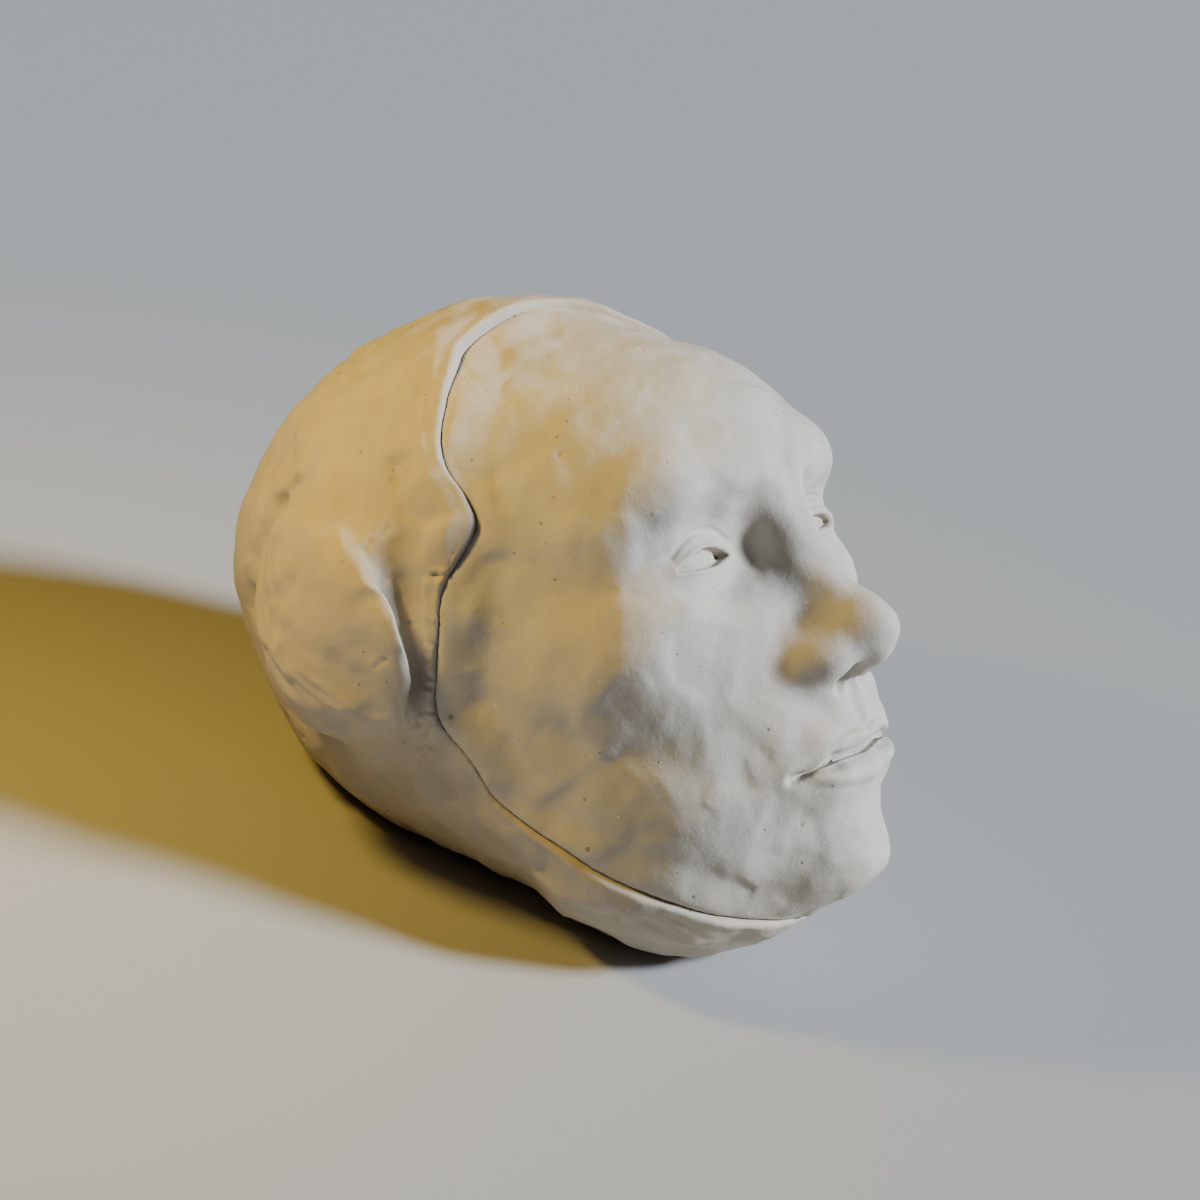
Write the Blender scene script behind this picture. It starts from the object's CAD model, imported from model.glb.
# A hand-modelled clay head in a slab hood: the finish of its surfaces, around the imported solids.
import math

import bpy
import numpy as np
from mathutils import Matrix, Vector


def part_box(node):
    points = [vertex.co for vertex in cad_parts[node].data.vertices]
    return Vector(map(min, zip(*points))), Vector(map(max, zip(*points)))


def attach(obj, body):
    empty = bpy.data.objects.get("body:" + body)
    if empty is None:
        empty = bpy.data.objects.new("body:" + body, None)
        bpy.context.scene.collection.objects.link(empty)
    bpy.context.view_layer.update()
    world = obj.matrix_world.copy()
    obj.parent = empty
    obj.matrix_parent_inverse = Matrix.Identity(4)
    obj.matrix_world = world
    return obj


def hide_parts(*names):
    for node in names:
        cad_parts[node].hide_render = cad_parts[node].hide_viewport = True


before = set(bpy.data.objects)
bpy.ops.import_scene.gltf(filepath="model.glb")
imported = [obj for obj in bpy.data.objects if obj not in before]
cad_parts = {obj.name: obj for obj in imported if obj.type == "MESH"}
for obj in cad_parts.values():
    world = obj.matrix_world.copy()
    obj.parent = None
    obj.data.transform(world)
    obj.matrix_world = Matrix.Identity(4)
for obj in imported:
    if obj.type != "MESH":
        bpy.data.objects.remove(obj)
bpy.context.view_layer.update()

# Sizes of the solids, in mm and degrees, as the part's own source names them. Forms are worked out in
# the head's own frame: (x to the head's left, f forward, u up), from the point between the ears.
TILT_BACK = 36
STAND_HEIGHT = 70
CENTRE_Y = 4
SLAB = 5
BED = 16
JOINT = 0.6
EYE_X, EYE_U, EYE_HALF_WIDTH, EYE_OPENING, EYE_DROP = 31, 12, 12.5, 5, 0.4
EYEBALL = dict(at=(EYE_X, 71, EYE_U), radii=(14, 11.4, 11.5))
MOUTH_U, MOUTH_HALF_WIDTH = -53.4, 26

CROWN_AT, CROWN_FRONT, CROWN_BACK = (0, -7, 33), (80, 84, 76), (80, 102, 76)
HEAD_MASSES = [
    dict(name="jaw", at=(0, 38, -45), radii=(66, 59, 63), blend=40),
    dict(name="nape", at=(0, -22, -9), radii=(63, 67, 55), blend=40),
    dict(name="middle", at=(0, 34, -2), radii=(60, 62, 56), blend=30),
]
EAR_MASSES = [
    dict(name="ear", at=(66, -18, 20), radii=(27, 36, 44), blend=5),
    dict(name="recess", carve=True, start=(83.5, 17, 38), end=(81, 8.5, -13), thick=(7, 3), blend=2.5),
]
FACE_MASSES = [
    dict(name="forehead", at=(0, 54, 36), radii=(54, 40, 38), blend=24),
    dict(name="cheekbone", at=(45, 57, -6), radii=(19, 23, 16), blend=16),
    dict(name="chin", at=(0, 75, -83), radii=(20, 19, 14), blend=14),
    dict(name="muzzle", at=(0, 74, -49), radii=(30, 22.5, 25), blend=16),
    dict(name="inner brow", start=(9, 86, 31), end=(37, 79, 33.5), thick=(7, 5.5), blend=14),
    dict(name="outer brow", start=(37, 79, 33.5), end=(51, 64, 27), thick=(5.5, 5), blend=14),
    dict(name="socket", carve=True, at=(30, 94, 13), radii=(18, 13, 12), blend=11),
    dict(name="inner corner", carve=True, at=(15.5, 98.5, 14), radii=(7, 12, 11), blend=10),
    dict(name="eye", at=(EYE_X, 71, EYE_U), radii=(15.5, 14.5, 13), blend=5),
    dict(name="nose bridge", start=(0, 84, 26), end=(0, 105, -14), thick=(7, 8), blend=9),
    dict(name="nose root", start=(0, 88, -16), end=(0, 86, -30), thick=(14, 13), blend=9),
    dict(name="nose tip", at=(0, 106, -19.5), radii=(10.5, 13, 9), blend=8),
    dict(name="nose wing", at=(12, 92, -23.5), radii=(8, 16, 8), blend=7),
    dict(name="columella", start=(0, 110, -25), end=(0, 97, -31), thick=(3.6, 4.2), blend=4),
    dict(name="upper lip", start=(2.5, 94, -46.5), end=(14, 91, -47.5), thick=(5.2, 4.8), blend=6),
    dict(name="upper lip end", start=(14, 91, -47.5), end=(26, 83, -51), thick=(4.8, 3), blend=6),
    dict(name="lower lip", start=(0, 92.3, -58), end=(12, 90, -57.5), thick=(6.8, 6), blend=6),
    dict(name="lower lip end", start=(12, 90, -57.5), end=(24, 82, -53.5), thick=(6, 2.6), blend=6),
    dict(name="mouth line", carve=True, start=(0, 100, -53.4), end=(15, 96.5, -53.2), thick=(3, 3), blend=3),
    dict(name="mouth end", carve=True, start=(15, 96.5, -53.2), end=(27, 89, -54), thick=(3, 0.5), blend=3),
    dict(name="philtrum", carve=True, start=(0, 101.5, -35), end=(0, 102, -42), thick=(3.2, 3.2), blend=3),
]
NOSTRIL = dict(at=(6.6, 102.5, -30), radii=(3.4, 5.2, 7))

# The rim as seen from the front: the turn from straight up, negative on the head's right, and the
# angle back from straight ahead.
RIM = [
    (-180, 57), (-162, 58), (-148, 61.4), (-135, 69.2), (-128, 75.3), (-120, 79.8), (-110, 80.4),
    (-99, 83.2), (-90, 80.1), (-78, 75.2), (-72, 73.3), (-66, 69.2), (-59.5, 66), (-54, 68.3), (-48, 72.4),
    (-40, 74.1), (-30, 75.4), (-22, 76.9), (-13, 75.2), (-4, 74.5), (4, 71.8), (11, 66.8), (18, 62.4),
    (26, 60), (35, 60), (45, 62), (56, 64), (64, 66.5), (72, 72), (80, 76), (90, 80), (99, 83),
    (110, 80.4), (120, 79.8), (128, 75.3), (135, 69.2), (148, 61.4), (162, 58), (180, 57),
]
RIM_RISE = [
    (-180, 2.5), (-145, 2.5), (-130, 3.2), (-115, 4.3), (-100, 5.5), (-77, 5.5), (-70, 3.8), (-65, 2),
    (-60, 0.8), (-55, 1.2), (-50, 2.2), (-44, 3.2), (-35, 2.8), (-30, 1.8), (-25, 0.7), (-20, 1),
    (-10, 2.1), (0, 2.6), (60, 2.4), (75, 4.5), (100, 4.5), (115, 4.1), (130, 3.2), (145, 2.5), (180, 2.5),
]
RISE_REACH = 16

# How finely each piece is meshed, in mm, and the most triangles that it keeps
HOOD_CELL = 0.85
FACE_CELL = 0.7
MOST_TRIANGLES = 190000

# Softness of the worked edges, in mm. The rim's is given by its turn, as its cut is crisp beside the
# brow and rounded under the chin.
RIM_EDGE = [(-180, 2.2), (-140, 2), (-118, 1.4), (-100, 0.6), (-70, 0.6), (0, 0.6), (70, 0.9), (130, 2), (180, 2.2)]
FACE_EDGE = [(-180, 1.1), (-116, 0.8), (-100, 0.3), (-66, 0.3), (-50, 0.15), (30, 0.15), (66, 0.5), (100, 0.8), (180, 1.1)]
BASE_EDGE = 3.0
BED_EDGE = 1.5
RIM_WOBBLE = 0.5
SEEN_JOINT = [(-180, 0.3), (-116, 0.3), (-100, 0.1), (-70, 0.1), (-58, 0.04), (40, 0.04), (70, 0.3), (180, 0.3)]

# The swelling over the ear, on the side of the head: its front edge as (u, f), and its outline as (f, u)
EAR_FRONT = [(-20, 0), (-16, 2), (-9, 5), (4, 9), (19, 10.6), (29, 10), (42, 5.3), (52.6, -2.7), (61.3, -9.6)]
EAR_OUTLINE = [(3, -14), (5.5, -9), (9, 4), (10.5, 19), (10, 29), (5.3, 42), (-2.7, 52.6), (-9.6, 61.3), (-24.6, 57.7),
               (-42, 49.6), (-51, 34.7), (-53, 15.7), (-50, -3), (-36, -9), (-21, -12), (-9, -15)]

# The camera: turn, height and roll about the head in its own frame, and how far away it stands
VIEW_TURN, VIEW_HEIGHT, VIEW_ROLL = 50.8, 3.0, 15.3
VIEW_DISTANCE = 620
PIXELS_PER_MM = 3.1
PICTURE = 1200
HEAD_ORIGIN_PIXEL = (561, 630.3)

MM = 0.001


# Fields: negative inside the clay

def ellipsoid(p, at, radii):
    q = [(v - c) / r for v, c, r in zip(p, at, radii)]
    near = np.sqrt(sum(v * v for v in q))
    slope = np.sqrt(sum((v / r) ** 2 for v, r in zip(q, radii)))
    return near * (near - 1) / np.maximum(slope, 1e-6)


def bar(p, start, end, thick):
    along = [b - a for a, b in zip(start, end)]
    reach = [v - a for v, a in zip(p, start)]
    t = sum(r * a for r, a in zip(reach, along)) / sum(a * a for a in along)
    t = np.clip(t, 0, 1)
    off = np.sqrt(sum((r - a * t) ** 2 for r, a in zip(reach, along)))
    return off - (thick[0] + (thick[1] - thick[0]) * t)


def join(a, b, blend):
    h = np.maximum(blend - np.abs(a - b), 0) / blend
    return np.minimum(a, b) - h * h * blend * 0.25


def carve(a, b, blend):
    return -join(-a, b, blend)


def keep(a, b, blend):
    return -join(-a, -b, blend)


def model(field, p, masses):
    for m in masses:
        mass = ellipsoid(p, m["at"], m["radii"]) if "at" in m else bar(p, m["start"], m["end"], m["thick"])
        field = carve(field, mass, m["blend"]) if m.get("carve") else join(field, mass, m["blend"])
    return field


def mirrored(p):
    return [np.abs(p[0]), p[1], p[2]]


def head_field(p):
    crown = np.where(p[1] > CROWN_AT[1], ellipsoid(p, CROWN_AT, CROWN_FRONT), ellipsoid(p, CROWN_AT, CROWN_BACK))
    return model(crown, p, HEAD_MASSES)


def rim_angle(turn):
    x = np.array([r[0] for r in RIM], float)
    y = np.array([r[1] for r in RIM], float)
    xs = np.concatenate([[x[-2] - 360], x, [x[1] + 360]])
    ys = np.concatenate([[y[-2]], y, [y[1]]])
    slope = (ys[2:] - ys[:-2]) / (xs[2:] - xs[:-2])
    i = np.clip(np.searchsorted(x, turn) - 1, 0, len(x) - 2)
    step = x[i + 1] - x[i]
    t = (turn - x[i]) / step
    return ((1 + 2 * t) * (1 - t) ** 2 * y[i] + t * (1 - t) ** 2 * step * slope[i]
            + t * t * (3 - 2 * t) * y[i + 1] + t * t * (t - 1) * step * slope[i + 1])


def turn_of(p):
    return np.degrees(np.arctan2(p[0], p[2]))


def by_table(v, table):
    return np.interp(v, [row[0] for row in table], [row[1] for row in table])


def rim_wobble(turn):
    """The hand-cut line's small wandering, in mm."""
    waves = [(7, 0.4, 0.4), (13, 1.9, 0.3), (23, 4.1, 0.22), (41, 2.6, 0.14), (67, 0.9, 0.08)]
    return RIM_WOBBLE * sum(h * np.sin(np.radians(turn) * n + start) for n, start, h in waves)


def behind_rim(p):
    """How far a point lies behind the rim's line, in mm along the surface. It is negative on the face."""
    side = np.sqrt(p[0] ** 2 + p[2] ** 2)
    turn = turn_of(p)
    back = np.arctan2(side, p[1])
    return (back - np.radians(rim_angle(turn))) * np.sqrt(side ** 2 + p[1] ** 2) + rim_wobble(turn)


def half_joint(p):
    return by_table(turn_of(p), SEEN_JOINT) / 2


def hood_field(x, y, z):
    p = own_frame(x, y, z)
    outside = model(head_field(p), mirrored(p), EAR_MASSES)
    bed = head_field(p) + BED + JOINT
    clay = keep(outside, np.minimum(half_joint(p) - behind_rim(p), bed), by_table(turn_of(p), RIM_EDGE))
    return keep(clay, -z, BASE_EDGE)


def eye_slit(q):
    """The almond opening between the lids, in mirrored coordinates."""
    s = (q[0] - EYE_X) / EYE_HALF_WIDTH
    lens = np.maximum(1 - s * s, 0)
    upper = EYE_U - EYE_DROP + 0.75 * EYE_OPENING * lens
    lower = EYE_U - EYE_DROP - 0.25 * EYE_OPENING * lens
    between = np.abs(q[2] - (upper + lower) / 2) - (upper - lower) / 2
    eyeball = ellipsoid(q, EYEBALL["at"], EYEBALL["radii"])
    return np.maximum(between, np.maximum((np.abs(s) - 1) * EYE_HALF_WIDTH, np.maximum(50 - q[1], -eyeball)))


def face_field(x, y, z):
    p = own_frame(x, y, z)
    q = mirrored(p)
    behind = behind_rim(p)
    rise = by_table(turn_of(p), RIM_RISE) * ramp(-behind, RISE_REACH, 1)
    skin = model(head_field(p) + SLAB - rise, q, FACE_MASSES)
    clay = keep(skin, behind + half_joint(p), by_table(turn_of(p), FACE_EDGE))
    clay = carve(clay, head_field(p) + BED, BED_EDGE)
    clay = carve(clay, ellipsoid(q, NOSTRIL["at"], NOSTRIL["radii"]), 1.6)
    return carve(clay, eye_slit(q), 0.6)


# Frames

def own_frame(x, y, z):
    """From the standing part's frame to the head's own frame, both in mm."""
    c, s = math.cos(math.radians(TILT_BACK)), math.sin(math.radians(TILT_BACK))
    y, z = y - CENTRE_Y, z - STAND_HEIGHT
    return [x, -y * c + z * s, y * s + z * c]


def standing_way(way):
    """A direction in the head's own frame, in the standing part's frame."""
    c, s = math.cos(math.radians(TILT_BACK)), math.sin(math.radians(TILT_BACK))
    x, f, u = way
    return Vector((x, -f * c + u * s, f * s + u * c))


# Meshing a field: a net of four-sided cells laid on its surface

def sample_field(field, low, cell, counts):
    """The field on a grid, worked out in full only near its surface, and by coarse blocks elsewhere."""
    coarse = [n // 2 + 2 for n in counts]
    axes = [low[i] + 2 * cell * np.arange(coarse[i], dtype=np.float32) for i in range(3)]
    grid = np.meshgrid(*axes, indexing="ij")
    blocks = field(*grid).astype(np.float32)
    near = np.abs(blocks) < 2 * cell * 2.2
    wide = near.copy()
    for axis in range(3):
        wide[tuple(slice(1, None) if a == axis else slice(None) for a in range(3))] |= \
            wide[tuple(slice(None, -1) if a == axis else slice(None) for a in range(3))]
        wide[tuple(slice(None, -1) if a == axis else slice(None) for a in range(3))] |= \
            wide[tuple(slice(1, None) if a == axis else slice(None) for a in range(3))]
    fine = blocks.repeat(2, 0).repeat(2, 1).repeat(2, 2)[:counts[0], :counts[1], :counts[2]]
    wanted = wide.repeat(2, 0).repeat(2, 1).repeat(2, 2)[:counts[0], :counts[1], :counts[2]]
    where = np.nonzero(wanted)
    points = [low[i] + cell * where[i].astype(np.float32) for i in range(3)]
    fine[where] = field(*points)
    return fine


def surface_net(field, low, high, cell):
    """Vertices and four-sided faces on the field's surface."""
    low = [math.floor(v / cell - 2) * cell for v in low]
    counts = [int(math.ceil((h - l) / cell)) + 3 for l, h in zip(low, high)]
    values = sample_field(field, low, cell, counts)
    inside = values < 0
    corners = [(i, j, k) for i in (0, 1) for j in (0, 1) for k in (0, 1)]
    shape = tuple(n - 1 for n in counts)

    def corner(grid, c):
        return grid[c[0]:c[0] + shape[0], c[1]:c[1] + shape[1], c[2]:c[2] + shape[2]]

    total = sum(corner(inside, c).astype(np.int8) for c in corners)
    cells = np.nonzero((total > 0) & (total < 8))
    at = [values[cells[0] + c[0], cells[1] + c[1], cells[2] + c[2]] for c in corners]
    place = np.zeros((len(cells[0]), 3))
    count = np.zeros(len(cells[0]))
    for a in range(8):
        for b in range(a + 1, 8):
            if sum(abs(m - n) for m, n in zip(corners[a], corners[b])) != 1:
                continue
            crossed = (at[a] < 0) != (at[b] < 0)
            gap = np.where(crossed, at[a] - at[b], 1)
            t = np.where(crossed, at[a] / gap, 0)
            for axis in range(3):
                step = corners[b][axis] - corners[a][axis]
                place[:, axis] += np.where(crossed, corners[a][axis] + t * step, 0)
            count += crossed
    place /= count[:, None]
    points = np.stack([low[i] + cell * (cells[i] + place[:, i]) for i in range(3)], 1)
    number = np.full(shape, -1, np.int64)
    number[cells] = np.arange(len(points))
    faces = []
    for axis in range(3):
        u, v = [(1, 2), (2, 0), (0, 1)][axis]
        first = tuple(slice(None, -1) if a == axis else slice(1, -1) for a in range(3))
        second = tuple(slice(1, None) if a == axis else slice(1, -1) for a in range(3))
        change = inside[first] != inside[second]
        edge = np.nonzero(change)
        full = [edge[a] + (0 if a == axis else 1) for a in range(3)]

        def cell_number(du, dv):
            spot = list(full)
            spot[u] = spot[u] - du
            spot[v] = spot[v] - dv
            return number[tuple(spot)]

        quad = np.stack([cell_number(1, 1), cell_number(0, 1), cell_number(0, 0), cell_number(1, 0)], 1)
        flip = ~inside[first][edge]
        quad[flip] = quad[flip][:, ::-1]
        faces.append(quad)
    return points, np.concatenate(faces)


def vertex_normals(points, faces):
    diagonal = points[faces[:, 2]] - points[faces[:, 0]]
    other = points[faces[:, 3]] - points[faces[:, 1]]
    normal = np.cross(diagonal, other)
    total = np.zeros_like(points)
    for c in range(4):
        for axis in range(3):
            total[:, axis] += np.bincount(faces[:, c], normal[:, axis], len(points))
    return total / np.maximum(np.linalg.norm(total, axis=1, keepdims=True), 1e-9)


# Seeded noise

def hashed(i, j, k, seed):
    """A number from 0 to 1 for each grid place."""
    n = (i.astype(np.int64) * 73856093) ^ (j.astype(np.int64) * 19349663) ^ (k.astype(np.int64) * 83492791)
    n = (n ^ (seed * 2654435761)) & 0xFFFFFFFF
    n = ((n ^ (n >> 16)) * 0x45D9F3B) & 0xFFFFFFFF
    n = ((n ^ (n >> 16)) * 0x45D9F3B) & 0xFFFFFFFF
    return ((n ^ (n >> 16)) & 0xFFFFFF) / 0xFFFFFF


def noise(q, size, seed):
    """Smooth noise from -1 to 1 whose features are about size wide."""
    q = np.asarray(q, float) / size
    whole = np.floor(q).astype(np.int64)
    part = q - whole
    ease = part ** 3 * (part * (part * 6 - 15) + 10)
    total = 0
    for c in [(i, j, k) for i in (0, 1) for j in (0, 1) for k in (0, 1)]:
        spot = [whole[n] + c[n] for n in range(3)]
        weight = 1
        for n in range(3):
            weight = weight * (ease[n] if c[n] else 1 - ease[n])
        slope = 0
        for n in range(3):
            slope = slope + (hashed(*spot, seed * 3 + n) * 2 - 1) * (part[n] - c[n])
        total = total + weight * slope
    return total * 1.4


def neighbours(q, size, seed):
    """The seeded points near each place: how far away each is, as a vector, with its grid place."""
    q = np.asarray(q, float) / size
    whole = np.floor(q).astype(np.int64)
    for c in [(i, j, k) for i in (-1, 0, 1) for j in (-1, 0, 1) for k in (-1, 0, 1)]:
        spot = [whole[n] + c[n] for n in range(3)]
        centre = [spot[n] + hashed(*spot, seed + n) for n in range(3)]
        yield spot, [(q[n] - centre[n]) * size for n in range(3)]


def facets(q, size, seed, soft=0.16, steep=0.2):
    """Shallow thumbed planes about size wide, each at its own slant."""
    total, weights = 0, 0
    for spot, off in neighbours(q, size, seed):
        away = sum(v * v for v in off) / size ** 2
        weight = np.exp(-away / soft)
        slant = [hashed(*spot, seed + 7 + n) * 2 - 1 for n in range(3)]
        height = steep * sum(s * v for s, v in zip(slant, off))
        height = height + size * 0.015 * (hashed(*spot, seed + 11) * 2 - 1)
        total = total + weight * height
        weights = weights + weight
    return total / weights


def spots(q, size, seed, share, radius):
    """Small round marks, from 0 to 1, at a share of the seeded points."""
    total = 0
    for spot, off in neighbours(q, size, seed):
        away = np.sqrt(sum(v * v for v in off))
        wide = radius * (0.5 + hashed(*spot, seed + 5))
        mark = np.clip(1 - away / wide, 0, 1)
        mark = mark * mark * (3 - 2 * mark)
        total = np.maximum(total, np.where(hashed(*spot, seed + 6) < share, mark, 0))
    return total


# Relief: how far the worked surface stands off the plain form, in mm

def ramp(v, low, high):
    t = np.clip((v - low) / (high - low), 0, 1)
    return t * t * (3 - 2 * t)


def side_line(p, points, wide):
    """A mark along a bent line on the head's right side, given as (f, u): 1 on the line, 0 well beside it."""
    level = [np.zeros_like(p[1]), p[1], p[2]]
    away = None
    for a, b in zip(points, points[1:]):
        off = bar(level, (0, *a), (0, *b), (0, 0))
        away = off if away is None else np.minimum(away, off)
    return np.exp(-(away / wide) ** 2) * (p[0] < -40)


def inside_outline(p, points):
    """How far a point on the head's side lies inside a closed outline of (f, u) points, in mm."""
    level = [np.zeros_like(p[1]), p[1], p[2]]
    away, inside = None, False
    for a, b in zip(points, points[1:] + points[:1]):
        off = bar(level, (0, *a), (0, *b), (0, 0))
        away = off if away is None else np.minimum(away, off)
        between = (a[1] > p[2]) != (b[1] > p[2])
        slope = (b[0] - a[0]) / (b[1] - a[1] if b[1] != a[1] else 1)
        inside = inside ^ (between & (p[1] < a[0] + (p[2] - a[1]) * slope))
    return np.where(inside, away, -away)


def ear_relief(p):
    f, u = p[1], p[2]
    beside = ramp(np.abs(p[0]), 48, 60)
    torn = by_table(u, [(-20, 0.5), (28, 0.9), (44, 1.8), (60, 2.2)])
    front = by_table(u, EAR_FRONT) - f
    far_back = ramp(front, 4, 24)
    within = inside_outline(p, EAR_OUTLINE) + torn * noise(p, 6, 31) + 1.5 * far_back * noise(p, 13, 32)
    soft = 1 + 4.5 * far_back + 4 * ramp(u, 34, 58)
    lobe = ramp(within / soft, -0.3, 1) * beside
    raised = by_table(u, [(-20, 0.6), (0, 1.6), (25, 2.6), (45, 1.6), (60, 0.6)])
    height = lobe * (1.1 + raised * ramp(front, 28, 0) - 1.2 * np.exp(-((f + 20) / 13) ** 2))
    around = np.exp(-((within + 5) / 4.5) ** 2) * ramp(front, 0, 14) * beside
    apron = (1 - lobe) * ramp(-front, 14, 0) * ramp(u, 30, 44) * ramp(u, 76, 62) * beside
    filled = ramp(-front, -0.5, 1.5) * ramp(-front, 12, 4) * ramp(u, 22, 2) * ramp(u, -20, -12) * beside
    return height - 3 * around + 2 * apron + 1.4 * filled


def ear_overhang(p):
    """How far the lobe's front edge leans forward over the hollow, in mm."""
    front = by_table(p[2], EAR_FRONT) - p[1]
    reach = by_table(p[2], [(-18, 1), (-9, 7), (0, 10), (12, 11.5), (20, 11), (30, 7), (40, 3.5), (52, 1), (60, 0)])
    reach = reach + 0.8 * noise(p, 5, 35) * ramp(reach, 0, 2)
    return reach * ramp(head_field(p), 1.5, 8) * ramp(front, 22, 3) * ramp(np.abs(p[0]), 48, 60)


def strip_relief(p, behind, turn):
    """The narrow band between the ear's hollow and the joint, cracked across."""
    away = np.abs(turn)
    along = ramp(away, 69, 71) * ramp(away, 101, 96)
    wide = by_table(away, [(69, 7.4), (74, 5.6), (80, 4.2), (86, 3.4), (92, 2.8), (98, 1.8), (102, 0.5)])
    height = 0.8 * along * ramp(behind, wide + 0.5, wide - 0.4) * ramp(behind, -1, 0.6)
    height = height - 0.35 * along * np.exp(-((behind - wide * 0.45) / (0.25 * wide + 0.3)) ** 2)
    across = ramp(behind, wide + 1, wide - 0.5) * along * (p[0] < 0)
    for at, deep in [(77.4, -0.5), (82.7, 0.6), (86.3, 0.9), (89.6, 0.8), (91.4, 1.0), (96.5, 0.8)]:
        mm = (away - at) * 1.37 + 0.4 * (behind - 2)
        height = height - across * deep * np.exp(-(mm / 0.55) ** 2)
        height = height + across * 0.35 * np.exp(-((mm - 1.1) / 0.6) ** 2)
    return height


def hood_marks(p, behind, turn):
    """Single marks on the head's right side: folds, chips, lumps and the valley under the ear."""
    height = -0.9 * side_line(p, [(27.2, 27), (22, 28.4)], 0.6)
    height = height + 0.5 * side_line(p, [(26, 28.6), (21.5, 29.9)], 0.7)
    height = height - 1.5 * side_line(p, [(-54, -10), (-21, -23), (6, -34)], 6.5)
    uneven = bent(p, 5, 14, 51)
    for points, raised, wide in [([(-44, 16), (-33, 2)], 0.9, 3.2), ([(-31, 20), (-24, 3), (-17, -4)], 1.1, 2.6),
                                 ([(-20, 9), (-11, -8)], 0.8, 2.2), ([(-37, 25), (-30, 31)], 0.8, 3.4)]:
        height = height + raised * side_line(uneven, points, wide)
    for points, deep, wide in [([(-38, 20), (-30, 7)], 0.8, 1.8), ([(-26, 6), (-19, -6)], 0.9, 1.6)]:
        height = height - deep * side_line(uneven, points, wide)
    height = height + 0.9 * side_line(p, [(0, -13.6), (3, -12.4), (5.4, -9.8)], 0.8)
    height = height - 0.8 * side_line(p, [(1.5, -15.5), (6.5, -12)], 0.9)
    for points in [[(6.5, 33.6), (8.2, 32)], [(-5, -20.2), (-2, -19.2), (0.6, -20.4)], [(12.4, 45), (11, 43)],
                   [(8, 42), (6.6, 40)], [(9, 17.8), (10.8, 16.6)], [(-2, 8), (0.5, 9.4)], [(16, 56), (13.5, 58.5)]]:
        height = height - 0.7 * side_line(p, points, 0.6)
    ridge = np.exp(-((behind - 5.8 - 0.6 * np.sin(turn * 0.3)) / 0.75) ** 2)
    height = height + 0.45 * ridge * ramp(turn, -50, -46) * ramp(turn, -26, -32)
    lip = np.exp(-((behind - 1.1) / 0.45) ** 2) * ramp(turn, -69.5, -68) * ramp(turn, -60, -64)
    return height - 0.6 * lip


def bent(p, reach, size, seed):
    """The same points, moved about a little, so that marks laid on them don't run straight."""
    return [p[n] + reach * noise(p, size, seed + n) for n in range(3)]


def hood_relief(p, behind):
    side = np.hypot(p[0], p[2])
    angle = np.arctan2(p[0], p[2])
    turn = np.degrees(angle)
    back = np.arctan2(side, p[1])
    behind_head = ramp(-p[1], 45, 85)
    around = [angle * 80 / 11, back * 90 / 4, side * 0.03]
    down = [p[0] / 4, p[2] / 13, p[1] * 0.03]
    strokes = (1 - behind_head) * noise(around, 1, 3) + behind_head * noise(down, 1, 6)
    broad = (1 - behind_head) * noise([angle * 80 / 26, back * 90 / 9, side * 0.02], 1, 8)
    broad = broad + behind_head * noise([p[0] / 10, p[2] / 28, p[1] * 0.02], 1, 9)
    strokes = strokes * ramp(noise(p, 24, 14), -0.4, 0.4)
    planes = facets(bent(p, 3, 14, 15), 15, 4, 0.14, 0.16)
    height = 0.8 * noise(p, 44, 1) + 0.6 * noise(p, 21, 2) + 0.24 * noise(p, 6, 18)
    near_side = ramp(-p[0], 0, 45) * (1 - 0.8 * behind_head)
    plainer = 0.45 + 0.55 * near_side
    height = height + plainer * (0.8 * strokes + 0.65 * broad + planes) * (0.25 + 0.75 * ramp(behind, 1, 7))
    height = height + ear_relief(p) + strip_relief(p, behind, turn) + hood_marks(p, behind, turn)
    height = height + 0.22 * noise(p, 5, 10) * ramp(behind, 7, 0)
    height = height - 0.6 * spots(p, 11, 5, 0.25, 1.1) + 0.4 * spots(p, 9, 12, 0.12, 0.8)
    return height + 0.5 * spots(p, 4, 13, 0.3, 0.8) * ramp(behind, 3.5, 1), ear_overhang(p)


def lid_relief(q):
    """The lids' edges, the fold over the eye and the furrow under it, in mirrored coordinates."""
    s = (q[0] - EYE_X) / EYE_HALF_WIDTH
    lens = np.maximum(1 - s * s, 0)
    over = q[2] - (EYE_U - EYE_DROP + 0.75 * EYE_OPENING * lens)
    under = (EYE_U - EYE_DROP - 0.25 * EYE_OPENING * lens) - q[2]
    span = ramp(np.abs(s), 1.3, 0.95) * ramp(q[1], 55, 62)
    height = 0.7 * np.exp(-((over - 1.0) / 1.0) ** 2) + 0.5 * np.exp(-((under - 0.9) / 0.9) ** 2)
    height = height - 0.9 * np.exp(-((over - 4.4 - 1.2 * lens) / 0.9) ** 2)
    return span * (height - 0.5 * np.exp(-((under - 6) / 2) ** 2))


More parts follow.
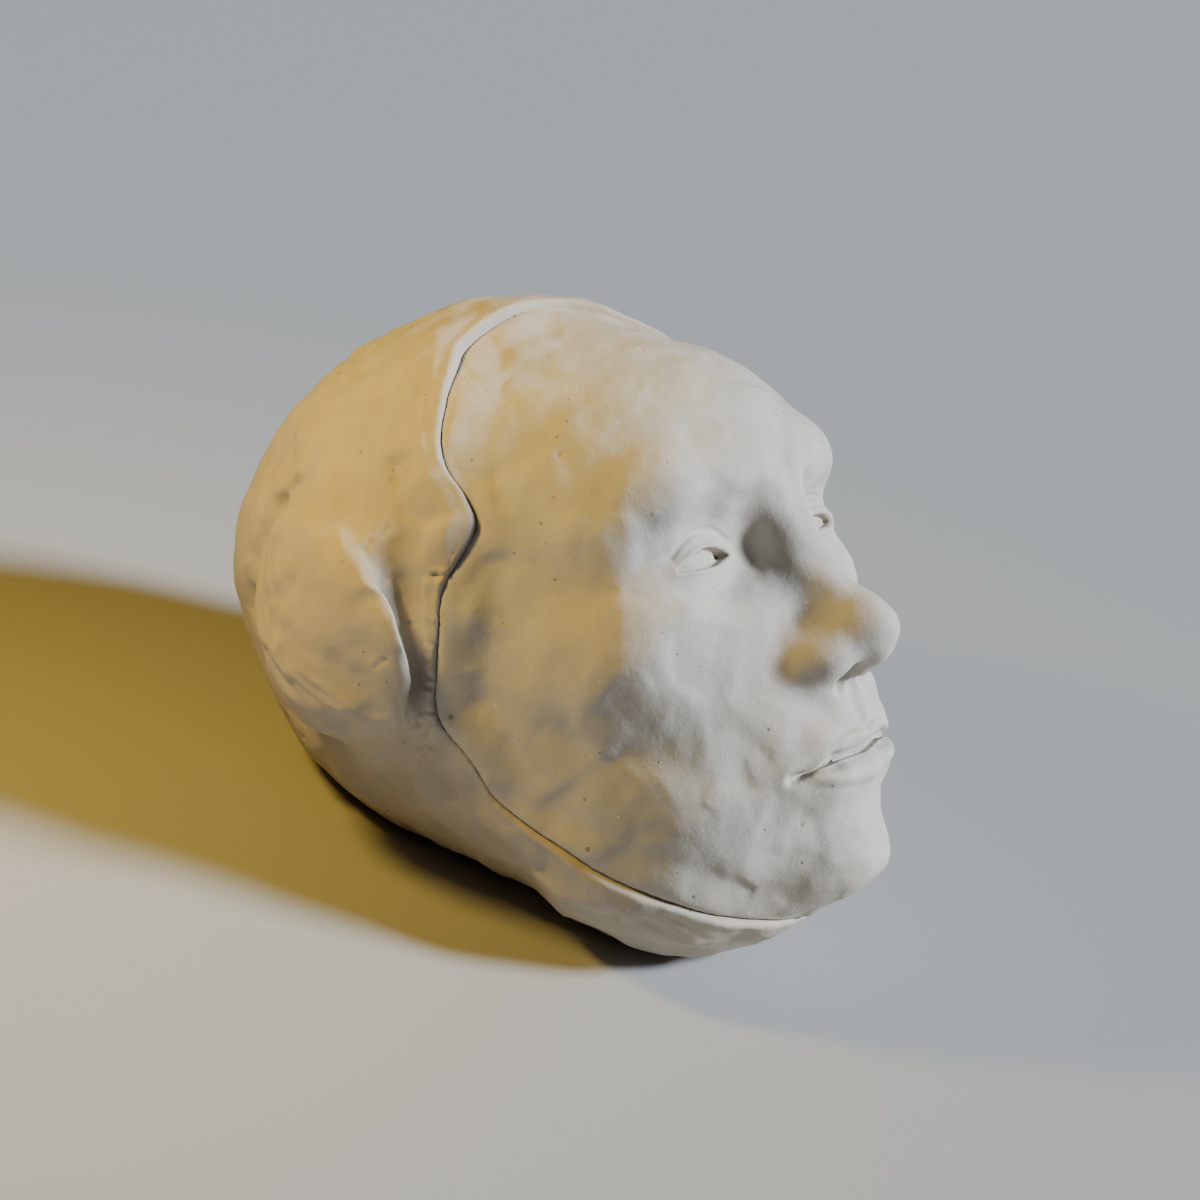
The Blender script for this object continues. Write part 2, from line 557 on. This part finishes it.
def lips_relief(q):
    """A calm closed mouth, in mirrored coordinates: its line, the lips' edges and bow, and the tucked corners."""
    s = q[0] / MOUTH_HALF_WIDTH
    lens = np.maximum(1 - s * s, 0)
    over = q[2] - (MOUTH_U - 0.9 * s * s - 0.5 * np.exp(-(q[0] / 5) ** 2))
    bow = 7 * lens ** 0.7 - 1.3 * np.exp(-(q[0] / 3.5) ** 2)
    full = 8.2 * lens ** 0.8
    span = ramp(s, 1.08, 0.7) * ramp(q[1], 74, 80)
    upper = ramp(over, 0, 1.5) * ramp(over - bow, 0.9, -0.9)
    lower = ramp(-over, 0, 2) * ramp(-over - full, 1.6, -1.6)
    height = 0.9 * np.exp(-(over / 2.8) ** 2) + 1.1 * upper + 1.4 * lower
    height = height + 0.35 * np.exp(-((over - bow) / 0.8) ** 2) - 2.1 * np.exp(-(over / 0.8) ** 2)
    corner = np.exp(-((q[0] - MOUTH_HALF_WIDTH + 1) / 5) ** 2 - (over / 1.7) ** 2) * ramp(q[1], 68, 76)
    return span * height - 0.8 * corner


def face_relief(p, behind):
    q = mirrored(p)
    away = ramp(-behind, 0, 3)
    planes = facets(bent(p, 1.5, 16, 41), 17, 22, 0.15, 0.13)
    thumbed = facets(p, 9, 25, 0.16, 0.12)
    plain = ramp(np.hypot(np.hypot(q[0] * 0.38, (q[2] - MOUTH_U) * 1.2), (q[1] - 92) * 0.5), 11, 19)
    height = 0.5 * noise(p, 30, 21) + (0.8 * planes + 0.5 * thumbed) * (0.25 + 0.75 * plain) + 0.1 * noise(p, 5, 23)
    height = height + lid_relief(q) + lips_relief(q)
    height = height - 0.6 * spots(p, 10, 24, 0.3, 1.1) * plain + 0.35 * spots(p, 9, 26, 0.15, 0.8)
    return away * height, np.zeros_like(height)


# Making pieces

def outward(points):
    """The head's outward direction at each point, in the standing part's frame."""
    step = 0.5
    slope = []
    for axis in range(3):
        move = np.zeros(3)
        move[axis] = step
        slope.append(head_field(own_frame(*(points + move).T)) - head_field(own_frame(*(points - move).T)))
    slope = np.stack(slope, 1)
    return slope / np.maximum(np.linalg.norm(slope, axis=1, keepdims=True), 1e-9)


def triangles_in(mesh):
    return sum(len(face.vertices) - 2 for face in mesh.polygons)


def thinned(mesh, name):
    """The same surface with fewer triangles, kept fine where it bends."""
    count = triangles_in(mesh)
    if count <= MOST_TRIANGLES:
        return mesh
    holder = bpy.data.objects.new("thinning", mesh)
    bpy.context.scene.collection.objects.link(holder)
    holder.modifiers.new("thin", "DECIMATE").ratio = MOST_TRIANGLES / count
    graph = bpy.context.evaluated_depsgraph_get()
    result = bpy.data.meshes.new_from_object(holder.evaluated_get(graph))
    bpy.data.objects.remove(holder)
    bpy.data.meshes.remove(mesh)
    result.name = name
    return result


def make_piece(name, field, relief, node, cell, steady, material):
    """Builds one piece. Within steady mm of the joint its relief stands off along the head's outward direction."""
    low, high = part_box(node)
    size = cell * 1
    margin = 3
    low = [v / MM - margin for v in low]
    high = [v / MM + margin for v in high]
    points, faces = surface_net(field, low, high, size)
    p = own_frame(*points.T)
    behind = behind_rim(p)
    outer = ramp(head_field(p), 1 - BED, 8 - BED)
    lift, forward = relief(p, behind)
    lift = lift * outer * ramp(points[:, 2], 0.3, 6)
    beside_joint = ramp(np.abs(behind), steady, steady - 3)[:, None]
    way = vertex_normals(points, faces) * (1 - beside_joint) + outward(points) * beside_joint
    points = points + way * lift[:, None] + np.array(standing_way((0, 1, 0))) * (forward * outer)[:, None]
    points[:, 2] = np.maximum(points[:, 2], 0)
    mesh = bpy.data.meshes.new(name)
    mesh.from_pydata((points * MM).tolist(), [], faces.tolist())
    mesh.update()
    mesh = thinned(mesh, name)
    mesh.materials.append(material)
    mesh.polygons.foreach_set("use_smooth", np.ones(len(mesh.polygons), bool))
    mesh.update()
    piece = bpy.data.objects.new(name, mesh)
    bpy.context.scene.collection.objects.link(piece)
    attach(piece, "root")
    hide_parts(node)
    print(name, "triangles:", len(faces) * 2, "cut to", triangles_in(mesh))


def clay_material(name, colour, greyer):
    """Matt unglazed clay: mottled, with pale specks, pinholes, a fine grain and smoother thumbed patches."""
    material = bpy.data.materials.new(name)
    material.use_nodes = True
    nodes = material.node_tree.nodes
    links = material.node_tree.links
    shader = nodes["Principled BSDF"]
    place = nodes.new("ShaderNodeTexCoord").outputs["Object"]

    def texture(kind, scale, detail=None):
        node = nodes.new(kind)
        node.inputs["Scale"].default_value = scale
        if detail is not None:
            node.inputs["Detail"].default_value = detail
        links.new(place, node.inputs["Vector"])
        return node

    def shades(value, stops):
        node = nodes.new("ShaderNodeValToRGB")
        for element, (at, tone) in zip(node.color_ramp.elements, stops):
            element.position = at
            element.color = (*tone, 1) if isinstance(tone, tuple) else (tone, tone, tone, 1)
        links.new(value, node.inputs["Fac"])
        return node.outputs["Color"]

    def mixed(share, first, second):
        node = nodes.new("ShaderNodeMix")
        node.data_type = "RGBA"
        for socket, source in (("Factor_Float", share), ("A_Color", first), ("B_Color", second)):
            links.new(source, next(s for s in node.inputs if s.identifier == socket))
        return next(s for s in node.outputs if s.identifier == "Result_Color")

    def summed(first, second):
        node = nodes.new("ShaderNodeMath")
        node.operation = "ADD"
        links.new(first, node.inputs[0])
        links.new(second, node.inputs[1])
        return node.outputs[0]

    def scaled(value, low, high):
        node = nodes.new("ShaderNodeMapRange")
        node.inputs["To Min"].default_value = low
        node.inputs["To Max"].default_value = high
        links.new(value, node.inputs["Value"])
        return node.outputs["Result"]

    mottle = texture("ShaderNodeTexNoise", 60, 6).outputs["Fac"]
    broad = texture("ShaderNodeTexNoise", 14, 3).outputs["Fac"]
    specks = texture("ShaderNodeTexNoise", 520, 2).outputs["Fac"]
    grain = texture("ShaderNodeTexNoise", 900, 4).outputs["Fac"]
    lumps = texture("ShaderNodeTexNoise", 240, 3).outputs["Fac"]
    holes = texture("ShaderNodeTexVoronoi", 210)
    clay = shades(mottle, [(0.3, tuple(c * 0.84 for c in colour)), (0.7, colour)])
    grey = shades(mottle, [(0.3, tuple(c * 0.88 for c in greyer)), (0.7, greyer)])
    clay = mixed(shades(broad, [(0.4, 0.0), (0.65, 1.0)]), clay, grey)
    pale = shades(mottle, [(0.2, tuple(c * 1.25 for c in colour)), (0.8, tuple(c * 1.4 for c in colour))])
    clay = mixed(shades(specks, [(0.73, 0.0), (0.77, 1.0)]), clay, pale)
    dark = shades(mottle, [(0.2, tuple(c * 0.45 for c in colour)), (0.8, tuple(c * 0.55 for c in colour))])
    scattered = summed(holes.outputs["Distance"], scaled(holes.outputs["Color"], -0.12, 0.32))
    pits = shades(scattered, [(0.03, 1.0), (0.08, 0.0)])
    clay = mixed(pits, clay, dark)
    links.new(clay, shader.inputs["Base Color"])
    links.new(scaled(broad, 0.5, 1.0), shader.inputs["Roughness"])
    heights = summed(scaled(grain, 0, 0.35), scaled(lumps, 0, 0.9))
    heights = summed(heights, scaled(pits, 0, -0.5))
    bump = nodes.new("ShaderNodeBump")
    bump.inputs["Strength"].default_value = 0.5
    bump.inputs["Distance"].default_value = 0.0005
    links.new(heights, bump.inputs["Height"])
    links.new(bump.outputs["Normal"], shader.inputs["Normal"])
    return material


make_piece("hood_clay_slab", hood_field, hood_relief, "hood", HOOD_CELL, 1000,
           clay_material("hood clay", (0.50, 0.44, 0.355), (0.45, 0.42, 0.37)))
make_piece("modelled_face", face_field, face_relief, "face", FACE_CELL, 5,
           clay_material("face clay", (0.53, 0.48, 0.41), (0.50, 0.475, 0.43)))


# Camera, light and floor

def view_axes():
    """The camera's right, up and back directions in the standing part's frame."""
    a, e, r = (math.radians(v) for v in (VIEW_TURN, VIEW_HEIGHT, VIEW_ROLL))
    back = np.array([-math.sin(a) * math.cos(e), math.cos(a) * math.cos(e), math.sin(e)])
    level = np.array([math.cos(a), math.sin(a), 0.0])
    over = np.cross(back, level)
    over = over if over[2] > 0 else -over
    right = math.cos(r) * level - math.sin(r) * over
    up = math.sin(r) * level + math.cos(r) * over
    return [standing_way(v).normalized() for v in (right, up, back)]


RIGHT, UP, BACK = view_axes()
HEAD_ORIGIN = Vector((0, CENTRE_Y, STAND_HEIGHT)) * MM
LAMP_DISTANCE = 0.37


def add_camera():
    data = bpy.data.cameras.new("camera")
    data.sensor_width = 36
    data.lens = data.sensor_width * PIXELS_PER_MM * VIEW_DISTANCE / PICTURE
    data.shift_x = (PICTURE / 2 - HEAD_ORIGIN_PIXEL[0]) / PICTURE
    data.shift_y = (HEAD_ORIGIN_PIXEL[1] - PICTURE / 2) / PICTURE
    data.clip_start = 0.01
    camera = bpy.data.objects.new("camera", data)
    turn = Matrix((RIGHT, UP, BACK)).transposed().to_4x4()
    camera.matrix_world = Matrix.Translation(HEAD_ORIGIN + BACK * VIEW_DISTANCE * MM) @ turn
    bpy.context.scene.collection.objects.link(camera)
    bpy.context.scene.camera = camera


def add_light(name, kind, way, colour):
    data = bpy.data.lights.new(name, kind)
    data.color = colour
    lamp = bpy.data.objects.new(name, data)
    lamp.location = HEAD_ORIGIN + way.normalized() * LAMP_DISTANCE
    lamp.rotation_euler = way.to_track_quat("Z", "Y").to_euler()
    bpy.context.scene.collection.objects.link(lamp)
    return data


def add_warm_lamp():
    """A soft lamp to the camera's left, above the head."""
    lamp = add_light("warm lamp", "AREA", BACK * 0.64 - RIGHT * 0.64 + UP * 0.7, (1.0, 0.66, 0.12))
    lamp.shape = "DISK"
    lamp.size = 0.07
    lamp.energy = 1.35


def add_daylight():
    """Soft daylight from the right and above, which also lights the floor evenly."""
    daylight = add_light("daylight", "SUN", RIGHT * 0.88 + UP * 0.26 + BACK * 0.22, (0.84, 0.92, 1.0))
    daylight.angle = math.radians(11)
    daylight.energy = 7.5


def add_room():
    world = bpy.data.worlds.new("soft room")
    bpy.context.scene.world = world
    world.use_nodes = True
    world.node_tree.nodes["Background"].inputs["Color"].default_value = (1, 0.98, 0.95, 1)
    world.node_tree.nodes["Background"].inputs["Strength"].default_value = 0.01


def add_floor():
    reach = 60
    mesh = bpy.data.meshes.new("floor")
    mesh.from_pydata([(-reach, -reach, 0), (reach, -reach, 0), (reach, reach, 0), (-reach, reach, 0)], [], [(0, 1, 2, 3)])
    floor = bpy.data.objects.new("floor", mesh)
    material = bpy.data.materials.new("pale floor")
    material.use_nodes = True
    shader = material.node_tree.nodes["Principled BSDF"]
    shader.inputs["Base Color"].default_value = (0.36, 0.36, 0.355, 1)
    shader.inputs["Roughness"].default_value = 0.9
    mesh.materials.append(material)
    bpy.context.scene.collection.objects.link(floor)


add_camera()
add_warm_lamp()
add_daylight()
add_floor()
add_room()
